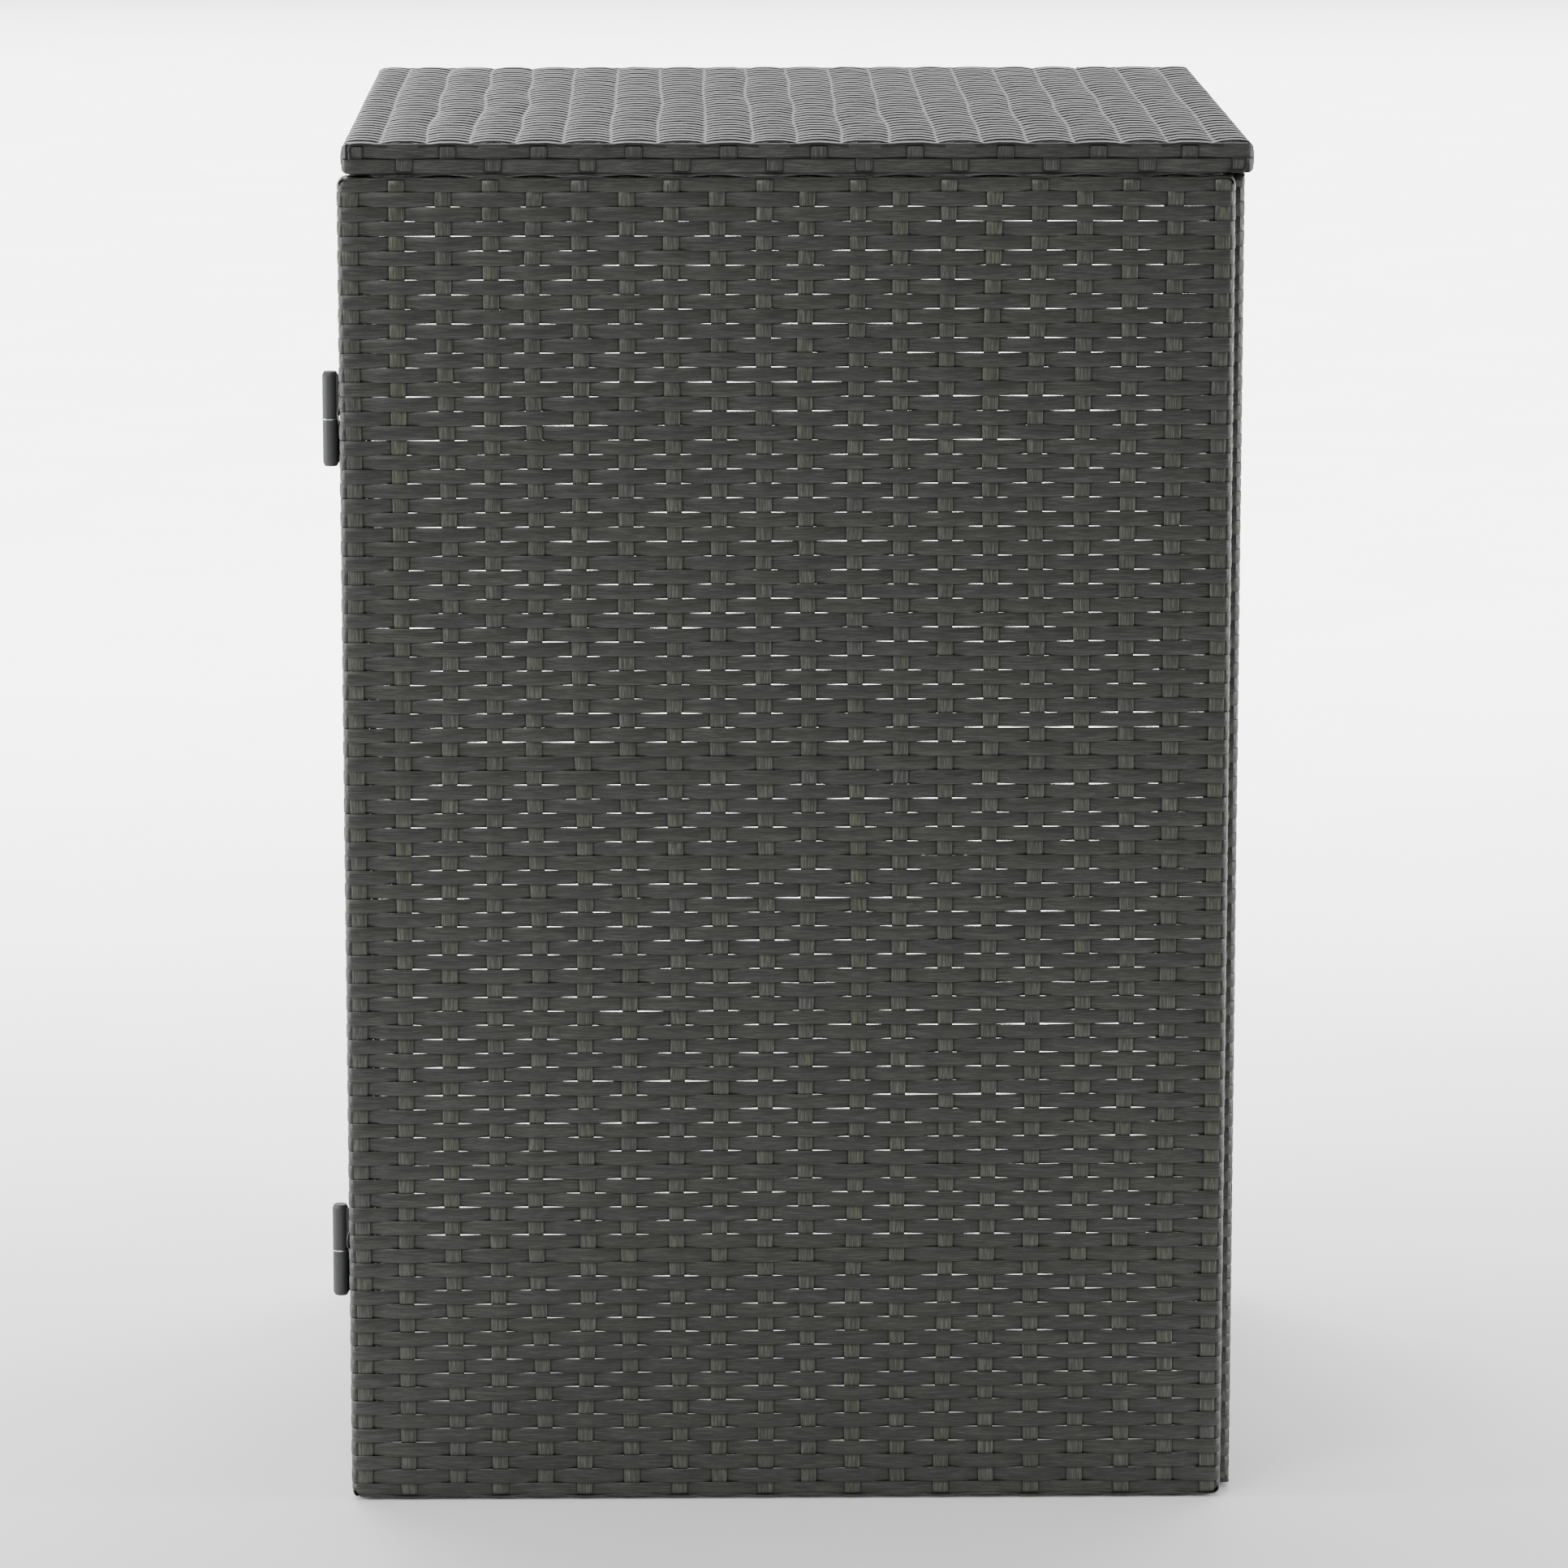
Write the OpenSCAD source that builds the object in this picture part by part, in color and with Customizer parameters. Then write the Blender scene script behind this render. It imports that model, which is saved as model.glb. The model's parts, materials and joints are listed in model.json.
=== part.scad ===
// Storage shed for a deck or a wheeled bin: four steel tube panels skinned with
// woven strip, an overlay door on lift-off barrel hinges and a lift-up lid.
// Origin: floor level, middle of the footprint (hinge barrels included).
// +Z is up, the door faces -Y, the door hinges stand on the -X side.

/* [Overall] */
// Width of the lid
lid_w = 780; // [600:10:1000]
// Depth of the lid, front face of the door to the back
lid_d = 760; // [600:10:1000]
// Height from the floor to the top of the lid
total_h = 1200; // [900:10:1400]
// How far the lid overhangs each side panel
lid_over = 5; // [2:1:15]

/* [Panels] */
// Thickness of the door panel
door_t = 26; // [22:1:36]
// Thickness of the lid panel
lid_t = 26; // [22:1:36]
// Thickness of each side panel
side_t = 20; // [17:1:30]
// Woven skin thickness round the door and lid frames
wrap = 3; // [2.8:0.1:4]
// Woven skin thickness round the side frames
side_wrap = 2.5; // [2.4:0.1:3.5]
// Wall of every steel tube
wall = 1.5; // [1:0.1:2.5]
// Corner radius of a skinned panel
corner_r = 7; // [6:1:15]
// How far the door stands out past the lid on the hinge side
door_shift = 4; // [0:1:8]
// How far the free edge of the door stops short of the side panel's face
door_short = 10; // [5:1:15]

/* [Gaps] */
// Gap between the door and the side panels behind it
door_gap = 3; // [3:0.5:8]
// Gap between the lid and the panels under it
lid_gap = 3; // [2.5:0.5:8]
// Radial clearance of a pin in its hole
pin_clear = 0.05; // [0.02:0.01:0.1]
// Clearance between parts that pass each other
move_clear = 0.3; // [0.3:0.1:1]

/* [Rails] */
// Square section of the rails that join the side panels
rail = 20; // [16:1:30]
// How far the front rail sits below the tops of the side panels
front_drop = 1.5; // [1:0.5:20]
// Height of the rear bottom rail above the panels' lower edge
low_rail_z = 15; // [5:1:60]
// Thickness of a rail's end plate
plate_t = 3; // [2:0.5:5]
// How far an end plate runs on past its rail
plate_tail = 44; // [36:1:60]

/* [Door hinges] */
// Radius of a door hinge barrel
barrel_r = 7; // [6.5:0.5:10]
// Length of a whole door hinge
hinge_len = 82; // [70:1:120]
// Radius of a door hinge pin
pin_r = 4; // [3:0.5:5]
// Gap between a barrel and the edge of the door
barrel_gap = 1.2; // [0.8:0.1:3]
// Height of the upper hinge as a share of the panel height
upper_share = 0.82; // [0.7:0.01:0.88]
// Height of the lower hinge as a share of the panel height
lower_share = 0.188; // [0.12:0.01:0.3]
// Thickness of a door hinge leaf
leaf_t = 2.5; // [2:0.1:2.5]

/* [Lid hinges] */
// Radius of a lid hinge barrel
lid_barrel_r = 6; // [5.5:0.5:8]
// Length of a lid hinge
lid_hinge_len = 60; // [48:1:90]
// Distance of each lid hinge from the middle of the lid, as a share of its width
lid_hinge_share = 0.32; // [0.2:0.01:0.38]
// Radius of a lid hinge pin
lid_pin_r = 2.5; // [2:0.5:3]

/* [Feet, buffers and catches] */
// Height of a floor glide
glide_h = 3; // [2:0.5:8]
// Radius of a floor glide
glide_r = 8; // [6:0.5:9]
// Radius of a lid buffer
buffer_r = 7; // [5:0.5:8]
// Height of each magnetic catch as a share of the panel height
catch_shares = [0.85, 0.15];
// Length of a magnetic catch
catch_len = 46; // [40:1:60]
// Width of a magnetic catch
catch_w = 14; // [12:1:16]
// Depth of a magnetic catch
catch_d = 17; // [15:1:20]
// Thickness of a strike plate
strike_t = 1.6; // [1.2:0.1:2]

/* [Hidden] */

$fn = 48;
cut = 1;
frame_corner_r = 4;
drain_r = 3;

// Colours
weave_colour = "#474643";
steel_colour = "#3c3e3e";
zinc_colour = "#b4b6b8";
plastic_colour = "#232424";
rubber_colour = "#1b1b1b";
magnet_colour = "#6c6f73";

// Tube sections left inside each panel once its skin is taken off
door_tube = door_t - 2 * wrap;
lid_tube = lid_t - 2 * wrap;
side_tube = side_t - 2 * side_wrap;

// Footprint: the barrels stand out past the lid at the left and the back
lid_barrel_y = lid_barrel_r + move_clear;
side_reach = door_shift + barrel_gap + 2 * barrel_r;
back_reach = lid_barrel_y + lid_barrel_r;
lid_x0 = (side_reach - lid_w) / 2;
lid_x1 = lid_x0 + lid_w;
lid_y0 = -(lid_d + back_reach) / 2;
lid_y1 = lid_y0 + lid_d;
body_x0 = lid_x0 + lid_over;
body_x1 = lid_x1 - lid_over;
inner_x0 = body_x0 + side_t;
inner_x1 = body_x1 - side_t;

// Heights
base_z = glide_h;
lid_z0 = total_h - lid_t;
panel_top = lid_z0 - lid_gap;
panel_h = panel_top - base_z;

// Depths
door_back = lid_y0 + door_t;
side_y0 = door_back + door_gap;
side_d = lid_y1 - side_y0;

// Door width
door_x0 = lid_x0 - door_shift;
door_x1 = body_x1 - door_short;
door_w = door_x1 - door_x0;

// Door hinge axis
hinge_x = door_x0 - barrel_gap - barrel_r;
hinge_y = door_back + door_gap / 2;
upper_hinge_z = base_z + panel_h * upper_share;
lower_hinge_z = base_z + panel_h * lower_share;
washer_t = 1.2;
washer_r = barrel_r + 0.5;
half_gap = (washer_t + move_clear) / 2;
taper_h = 3;
taper_r = barrel_r - 1.5;
leaf_reach = 14;
leaf_inset = 3;
pin_up = hinge_len / 2 - 8;
bore_spare = 2;

// Lid hinge axis
lid_axis_y = lid_y1 + lid_barrel_y;
lid_axis_z = lid_z0 - lid_gap / 2;
lid_hinge_off = lid_w * lid_hinge_share;
knuckle_half = lid_hinge_len / 6;
web_h = 3.5;
lid_leaf_h = 17;
leaf_room = 1;
lid_pin_head = 1.5;
lid_pin_head_r = lid_pin_r + 1.5;

// Rails
rail_back = lid_y1 - wrap;
rear_rail_y0 = rail_back - rail;
front_rail_y0 = side_y0 + 1;
front_rail_z0 = panel_top - front_drop - rail;
rear_rail_z0 = panel_top - rail;
low_rail_z0 = base_z + low_rail_z;

// Rail bolts: one pair through each end plate, into the side frame's tube
bolt_r = 3;
bolt_head_r = 5.5;
bolt_crown_r = 3.5;
bolt_head_h = 3;
bolt_first = 14;
bolt_second = 34;
bolt_bite = 5;
bolt_front_y = side_y0 + side_wrap + side_tube / 2;
bolt_back_y = lid_y1 - side_wrap - side_tube / 2;
bolt_points = [
  for (step = [bolt_first, bolt_second])
    each [
      [bolt_front_y, front_rail_z0 - step],
      [bolt_back_y, rear_rail_z0 - step],
      [bolt_back_y, low_rail_z0 + rail + step]
    ]
];

// Push-in stems of the glides and buffers
stem_r = 2.5;
stem_len = side_wrap + wall + 3;
round_over = 1;
glide_inset = 60;
buffer_inset = 25;
buffer_h = lid_gap - move_clear;
glide_points = [side_y0 + glide_inset, lid_y1 - glide_inset];

// Magnetic catches and their strikes
upper_catch_z = base_z + panel_h * catch_shares[0];
lower_catch_z = base_z + panel_h * catch_shares[1];
catch_y0 = door_back + strike_t + 2 * move_clear;
catch_screw_r = 2;
catch_screw_head_r = 3.5;
catch_screw_head_h = 2;
catch_screw_step = 16;
catch_screw_y = bolt_front_y + 1;
magnet_len = 22;
magnet_w = 8;
magnet_depth = 9;
strike_len = 50;
rivet_r = 1.6;
rivet_head_r = 3;
rivet_head_h = 0.9;
rivet_step = 20;
strike_x0 = inner_x1 - catch_w;
strike_x = strike_x0 + catch_w / 2;

// A rectangle with round corners, its lower left corner at the origin
module rounded_rect(w, h, r) {
  translate([r, 0]) square([w - 2 * r, h]);
  translate([0, r]) square([w, h - 2 * r]);
  for (x = [r, w - r]) {
    for (y = [r, h - r]) {
      translate([x, y]) circle(r = r);
    }
  }
}

// Square tube welded into a rectangle, lying flat, hollow, with one drain hole
module tube_frame(w, h, tube) {
  difference() {
    linear_extrude(tube) rounded_rect(w, h, frame_corner_r);
    translate([tube, tube, -cut]) cube([w - 2 * tube, h - 2 * tube, tube + 2 * cut]);
    translate([wall, wall, wall]) tube_bore(w - 2 * wall, h - 2 * wall, tube - 2 * wall);
    translate([w / 2, tube - wall - cut, tube / 2]) rotate([-90, 0, 0])
      cylinder(r = drain_r, h = wall + 2 * cut);
  }
}

// The hollow that runs all round inside a tube frame
module tube_bore(w, h, bore) {
  difference() {
    cube([w, h, bore]);
    translate([bore, bore, -cut]) cube([w - 2 * bore, h - 2 * bore, bore + 2 * cut]);
  }
}

// Woven skin lying flat, face up: a sheet on top, wrapped round the outside
// of the frame and back over the tubes underneath
module woven_skin(w, h, t, skin, tube) {
  edge = skin + tube;
  difference() {
    linear_extrude(t) rounded_rect(w, h, corner_r);
    translate([skin, skin, skin]) linear_extrude(tube)
      rounded_rect(w - 2 * skin, h - 2 * skin, frame_corner_r);
    translate([edge, edge, -cut]) cube([w - 2 * edge, h - 2 * edge, skin + 2 * cut]);
  }
}

// Places that stand a flat panel up
module on_right() {
  translate([inner_x1, side_y0, base_z]) rotate([90, 0, 90]) children();
}

module on_left() {
  translate([inner_x0, side_y0, base_z]) mirror([1, 0, 0]) rotate([90, 0, 90]) children();
}

module on_door() {
  translate([door_x0, door_back, base_z]) rotate([90, 0, 0]) children();
}

module on_lid() {
  translate([lid_x0, lid_y0, lid_z0]) children();
}

// Cylinders along X at every rail bolt of one side, x being their low end
module bolt_row(x, r, len) {
  for (point = bolt_points) {
    translate([x, point[0], point[1]]) rotate([0, 90, 0]) cylinder(r = r, h = len);
  }
}

// Holes for the stems of one side's glides and buffer
module stem_holes(x) {
  for (y = glide_points) {
    translate([x, y, base_z - cut]) cylinder(r = stem_r, h = stem_len + cut);
  }
  translate([x, side_y0 + buffer_inset, panel_top - stem_len])
    cylinder(r = stem_r, h = stem_len + cut);
}

// Holes for the catch screws in the right side panel
module catch_holes(len) {
  for (z = [upper_catch_z, lower_catch_z]) {
    for (step = [-catch_screw_step, catch_screw_step]) {
      translate([inner_x1 - cut, catch_screw_y, z + step]) rotate([0, 90, 0])
        cylinder(r = catch_screw_r, h = len + cut);
    }
  }
}

// Slots where the skin parts round the fixed leaves of the door hinges
module side_leaf_slots() {
  for (z = [upper_hinge_z, lower_hinge_z]) {
    translate([body_x0 - cut, side_y0 - cut, z - hinge_len / 2 + leaf_inset - move_clear])
      cube([
        side_wrap + leaf_reach + move_clear + cut,
        side_wrap + cut,
        hinge_len / 2 - 2 * leaf_inset + 2 * move_clear
      ]);
  }
}

// Slots where the door's skin parts round the moving leaves
module door_leaf_slots() {
  for (z = [upper_hinge_z, lower_hinge_z]) {
    translate([door_x0 - cut, door_back - wrap, z + leaf_inset - move_clear])
      cube([
        wrap + leaf_reach + move_clear + cut,
        wrap + cut,
        hinge_len / 2 - 2 * leaf_inset + 2 * move_clear
      ]);
  }
}

// Notches in the lid's skin for its hinges
module lid_leaf_notches() {
  for (side = [-1, 1]) {
    translate([
      (lid_x0 + lid_x1) / 2 + side * lid_hinge_off - lid_hinge_len / 2 - leaf_room,
      lid_y1 - wrap,
      lid_z0 - cut
    ])
      cube([lid_hinge_len + 2 * leaf_room, wrap + cut, wrap + lid_leaf_h + leaf_room + cut]);
  }
}

// Holes for the strike rivets, through the skin and the tube wall behind it
module rivet_holes() {
  for (z = [upper_catch_z, lower_catch_z]) {
    for (step = [-rivet_step, rivet_step]) {
      translate([strike_x, door_back + cut, z + step]) rotate([90, 0, 0])
        cylinder(r = rivet_r, h = wrap + wall + 2 * cut);
    }
  }
}

// Side panels
module left_side_frame() {
  color(steel_colour) difference() {
    on_left() translate([side_wrap, side_wrap, side_wrap])
      tube_frame(side_d - 2 * side_wrap, panel_h - 2 * side_wrap, side_tube);
    bolt_row(inner_x0 - side_wrap - wall - cut, bolt_r + pin_clear, wall + 2 * cut);
    stem_holes(body_x0 + side_t / 2);
  }
}

module left_side_weave() {
  color(weave_colour) difference() {
    on_left() woven_skin(side_d, panel_h, side_t, side_wrap, side_tube);
    bolt_row(inner_x0 - side_wrap - cut, bolt_r + move_clear, side_wrap + 2 * cut);
    stem_holes(body_x0 + side_t / 2);
    side_leaf_slots();
  }
}

module right_side_frame() {
  color(steel_colour) difference() {
    on_right() translate([side_wrap, side_wrap, side_wrap])
      tube_frame(side_d - 2 * side_wrap, panel_h - 2 * side_wrap, side_tube);
    bolt_row(inner_x1 + side_wrap - cut, bolt_r + pin_clear, wall + 2 * cut);
    catch_holes(side_wrap + wall + cut);
    stem_holes(body_x1 - side_t / 2);
  }
}

module right_side_weave() {
  color(weave_colour) difference() {
    on_right() woven_skin(side_d, panel_h, side_t, side_wrap, side_tube);
    bolt_row(inner_x1 - cut, bolt_r + move_clear, side_wrap + 2 * cut);
    catch_holes(side_wrap + cut);
    stem_holes(body_x1 - side_t / 2);
  }
}

// A cross rail with welded end plates. tail is +1 where the plates run on
// upward and -1 where they run on downward.
module cross_rail(y0, z0, tail) {
  tail_z = tail > 0 ? z0 : z0 - plate_tail;
  span = inner_x1 - inner_x0;
  difference() {
    union() {
      translate([inner_x0, y0, z0]) cube([span, rail, rail]);
      for (x = [inner_x0, inner_x1 - plate_t]) {
        translate([x, y0, tail_z]) cube([plate_t, rail, rail + plate_tail]);
      }
    }
    translate([inner_x0 + plate_t, y0 + wall, z0 + wall])
      cube([span - 2 * plate_t, rail - 2 * wall, rail - 2 * wall]);
    translate([(inner_x0 + inner_x1) / 2, y0 + rail / 2, z0 - cut])
      cylinder(r = drain_r, h = wall + 2 * cut);
    bolt_row(inner_x0 - cut, bolt_r + move_clear, plate_t + 2 * cut);
    bolt_row(inner_x1 - plate_t - cut, bolt_r + move_clear, plate_t + 2 * cut);
  }
}

module front_top_rail() {
  color(steel_colour) cross_rail(front_rail_y0, front_rail_z0, -1);
}

module rear_top_rail() {
  color(steel_colour) cross_rail(rear_rail_y0, rear_rail_z0, -1);
}

module rear_bottom_rail() {
  color(steel_colour) cross_rail(rear_rail_y0, low_rail_z0, 1);
}

// Button-head bolt along +X, its head's underside at the origin
module rail_bolt() {
  grip = plate_t + side_wrap + wall + bolt_bite;
  rotate([0, 90, 0]) {
    cylinder(r = bolt_r, h = grip);
    translate([0, 0, -bolt_head_h])
      cylinder(r1 = bolt_crown_r, r2 = bolt_head_r, h = bolt_head_h);
  }
}

module rail_bolts() {
  color(zinc_colour) for (point = bolt_points) {
    translate([inner_x1 - plate_t, point[0], point[1]]) rail_bolt();
    translate([inner_x0 + plate_t, point[0], point[1]]) mirror([1, 0, 0]) rail_bolt();
  }
}

// Plastic glides under the side panels
module floor_glides() {
  color(plastic_colour) for (x = [body_x0 + side_t / 2, body_x1 - side_t / 2]) {
    for (y = glide_points) {
      translate([x, y, 0]) {
        cylinder(r1 = glide_r - round_over, r2 = glide_r, h = round_over);
        translate([0, 0, round_over]) cylinder(r = glide_r, h = glide_h - round_over);
        cylinder(r = stem_r, h = glide_h + stem_len);
      }
    }
  }
}

// Rubber buffers that the front of the lid comes down on
module lid_buffers() {
  color(rubber_colour) for (x = [body_x0 + side_t / 2, body_x1 - side_t / 2]) {
    translate([x, side_y0 + buffer_inset, panel_top]) {
      cylinder(r = buffer_r, h = buffer_h - round_over);
      translate([0, 0, buffer_h - round_over])
        cylinder(r1 = buffer_r, r2 = buffer_r - round_over, h = round_over);
      translate([0, 0, -stem_len]) cylinder(r = stem_r, h = stem_len);
    }
  }
}

// Half a barrel standing on the origin, its outer end tapered
module half_barrel() {
  len = hinge_len / 2 - half_gap;
  cylinder(r = barrel_r, h = len - taper_h);
  translate([0, 0, len - taper_h]) cylinder(r1 = barrel_r, r2 = taper_r, h = taper_h);
}

// Fixed lower half of a door hinge: barrel, pin and the leaf on the side frame
module pin_half(z) {
  translate([hinge_x, hinge_y, z - half_gap]) mirror([0, 0, 1]) half_barrel();
  translate([hinge_x, hinge_y, z - half_gap - cut]) cylinder(r = pin_r, h = half_gap + cut + pin_up);
  translate([hinge_x, side_y0, z - hinge_len / 2 + leaf_inset])
    cube([
      body_x0 + side_wrap + leaf_reach - hinge_x,
      leaf_t,
      hinge_len / 2 - 2 * leaf_inset
    ]);
}

// Moving upper half of a door hinge: bored barrel and the leaf on the door frame
module socket_half(z) {
  difference() {
    union() {
      translate([hinge_x, hinge_y, z + half_gap]) half_barrel();
      translate([hinge_x, door_back - wrap, z + leaf_inset])
        cube([
          door_x0 + wrap + leaf_reach - hinge_x,
          leaf_t,
          hinge_len / 2 - 2 * leaf_inset
        ]);
    }
    translate([hinge_x, hinge_y, z]) cylinder(r = pin_r + pin_clear, h = pin_up + bore_spare);
  }
}

module washer(z) {
  translate([hinge_x, hinge_y, z - half_gap]) difference() {
    cylinder(r = washer_r, h = washer_t);
    translate([0, 0, -cut]) cylinder(r = pin_r + pin_clear, h = washer_t + 2 * cut);
  }
}

module upper_hinge_pin_half() {
  color(steel_colour) pin_half(upper_hinge_z);
}

module lower_hinge_pin_half() {
  color(steel_colour) pin_half(lower_hinge_z);
}

module upper_hinge_socket_half() {
  color(steel_colour) socket_half(upper_hinge_z);
}

module lower_hinge_socket_half() {
  color(steel_colour) socket_half(lower_hinge_z);
}

module upper_hinge_washer() {
  color(zinc_colour) washer(upper_hinge_z);
}

module lower_hinge_washer() {
  color(zinc_colour) washer(lower_hinge_z);
}

// A lid hinge knuckle from x0 to x1, and the web that ties it to its leaf.
// up is 1 for the lid's leaf and 0 for the rail's.
module knuckle(x0, x1, up) {
  translate([x0, 0, 0]) rotate([0, 90, 0]) cylinder(r = lid_barrel_r, h = x1 - x0);
  translate([x0, -lid_barrel_y - wrap, up > 0 ? 0 : -web_h]) cube([x1 - x0, lid_barrel_y + wrap, web_h]);
}

module hinge_bore() {
  translate([-lid_hinge_len / 2 - cut, 0, 0]) rotate([0, 90, 0])
    cylinder(r = lid_pin_r + pin_clear, h = lid_hinge_len + 2 * cut);
}

module on_lid_hinge(side) {
  translate([(lid_x0 + lid_x1) / 2 + side * lid_hinge_off, lid_axis_y, lid_axis_z]) children();
}

// Leaf welded to the back of the rear top rail, with the two outer knuckles
module rail_leaf(side) {
  on_lid_hinge(side) difference() {
    union() {
      translate([-lid_hinge_len / 2, -lid_barrel_y - wrap, -lid_gap / 2 - lid_leaf_h])
        cube([lid_hinge_len, wrap, lid_leaf_h]);
      knuckle(-lid_hinge_len / 2, -knuckle_half - move_clear, 0);
      knuckle(knuckle_half + move_clear, lid_hinge_len / 2, 0);
    }
    hinge_bore();
  }
}

// Leaf welded to the back of the lid frame, with the middle knuckle
module lid_leaf(side) {
  on_lid_hinge(side) difference() {
    union() {
      translate([-lid_hinge_len / 2, -lid_barrel_y - wrap, lid_gap / 2 + move_clear])
        cube([lid_hinge_len, wrap, wrap + lid_leaf_h]);
      knuckle(-knuckle_half, knuckle_half, 1);
    }
    hinge_bore();
  }
}

module lid_pin(side) {
  on_lid_hinge(side) rotate([0, 90, 0]) {
    translate([0, 0, -lid_hinge_len / 2]) cylinder(r = lid_pin_r, h = lid_hinge_len);
    for (z = [-lid_hinge_len / 2 - lid_pin_head, lid_hinge_len / 2]) {
      translate([0, 0, z]) cylinder(r = lid_pin_head_r, h = lid_pin_head);
    }
  }
}

module left_lid_hinge_rail_leaf() {
  color(steel_colour) rail_leaf(-1);
}

module right_lid_hinge_rail_leaf() {
  color(steel_colour) rail_leaf(1);
}

module left_lid_hinge_lid_leaf() {
  color(steel_colour) lid_leaf(-1);
}

module right_lid_hinge_lid_leaf() {
  color(steel_colour) lid_leaf(1);
}

module left_lid_hinge_pin() {
  color(zinc_colour) lid_pin(-1);
}

module right_lid_hinge_pin() {
  color(zinc_colour) lid_pin(1);
}

// Magnetic catch: a plastic case on the inner face of the right side panel
module door_catch(z) {
  difference() {
    translate([inner_x1 - catch_w, catch_y0, z - catch_len / 2]) cube([catch_w, catch_d, catch_len]);
    translate([inner_x1 - catch_w / 2 - magnet_w / 2, catch_y0 - cut, z - magnet_len / 2])
      cube([magnet_w, magnet_depth + cut, magnet_len]);
    for (step = [-catch_screw_step, catch_screw_step]) {
      translate([inner_x1 - catch_w - cut, catch_screw_y, z + step]) rotate([0, 90, 0]) {
        cylinder(r = catch_screw_r + move_clear, h = catch_w + 2 * cut);
        cylinder(r = catch_screw_head_r + move_clear, h = catch_screw_head_h + cut);
      }
    }
  }
}

module upper_door_catch() {
  color(plastic_colour) door_catch(upper_catch_z);
}

module lower_door_catch() {
  color(plastic_colour) door_catch(lower_catch_z);
}

module catch_magnets() {
  color(magnet_colour) for (z = [upper_catch_z, lower_catch_z]) {
    translate([inner_x1 - catch_w / 2 - magnet_w / 2, catch_y0, z - magnet_len / 2])
      cube([magnet_w, magnet_depth, magnet_len]);
  }
}

module catch_screws() {
  grip = catch_w + side_wrap + wall;
  color(zinc_colour) for (z = [upper_catch_z, lower_catch_z]) {
    for (step = [-catch_screw_step, catch_screw_step]) {
      translate([inner_x1 - catch_w, catch_screw_y, z + step]) rotate([0, 90, 0]) {
        cylinder(r = catch_screw_r, h = grip);
        cylinder(r = catch_screw_head_r, h = catch_screw_head_h);
      }
    }
  }
}

// Steel strike plate riveted to the back of the door's free edge
module catch_strike(z) {
  difference() {
    translate([strike_x0, door_back, z - strike_len / 2]) cube([catch_w, strike_t, strike_len]);
    for (step = [-rivet_step, rivet_step]) {
      translate([strike_x, door_back + strike_t + cut, z + step]) rotate([90, 0, 0]) {
        cylinder(r = rivet_r, h = strike_t + 2 * cut);
        cylinder(r = rivet_head_r, h = rivet_head_h + cut);
      }
    }
  }
}

module upper_catch_strike() {
  color(zinc_colour) catch_strike(upper_catch_z);
}

module lower_catch_strike() {
  color(zinc_colour) catch_strike(lower_catch_z);
}

module strike_rivets() {
  grip = strike_t + wrap + wall;
  color(zinc_colour) for (z = [upper_catch_z, lower_catch_z]) {
    for (step = [-rivet_step, rivet_step]) {
      translate([strike_x, door_back + strike_t, z + step]) rotate([90, 0, 0]) {
        cylinder(r = rivet_r, h = grip);
        cylinder(r = rivet_head_r, h = rivet_head_h);
      }
    }
  }
}

// Door
module door_frame() {
  color(steel_colour) difference() {
    on_door() translate([wrap, wrap, wrap])
      tube_frame(door_w - 2 * wrap, panel_h - 2 * wrap, door_tube);
    rivet_holes();
  }
}

module door_weave() {
  color(weave_colour) difference() {
    on_door() woven_skin(door_w, panel_h, door_t, wrap, door_tube);
    door_leaf_slots();
    rivet_holes();
  }
}

// Lid
module lid_frame() {
  color(steel_colour) on_lid() translate([wrap, wrap, wrap])
    tube_frame(lid_w - 2 * wrap, lid_d - 2 * wrap, lid_tube);
}

module lid_weave() {
  color(weave_colour) difference() {
    on_lid() woven_skin(lid_w, lid_d, lid_t, wrap, lid_tube);
    lid_leaf_notches();
  }
}

left_side_frame();
left_side_weave();
right_side_frame();
right_side_weave();
front_top_rail();
rear_top_rail();
rear_bottom_rail();
rail_bolts();
floor_glides();
lid_buffers();
upper_hinge_pin_half();
lower_hinge_pin_half();
upper_hinge_washer();
lower_hinge_washer();
left_lid_hinge_rail_leaf();
right_lid_hinge_rail_leaf();
left_lid_hinge_pin();
right_lid_hinge_pin();
upper_door_catch();
lower_door_catch();
catch_magnets();
catch_screws();
door_frame();
door_weave();
upper_hinge_socket_half();
lower_hinge_socket_half();
upper_catch_strike();
lower_catch_strike();
strike_rivets();
lid_frame();
lid_weave();
left_lid_hinge_lid_leaf();
right_lid_hinge_lid_leaf();
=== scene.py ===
"""Looks for the woven storage shed: strip weave, powder coat, hinges, floor, light and camera.

Everything is in metres, in the frame of the CAD model. Each woven skin is made of its
real strips: crosswise strips (the weft) that wrap round the side tubes, and lengthwise
strips (the warp) that pass over one and under one and wrap round the end tubes.
"""
import json
import math
from typing import NamedTuple

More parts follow.
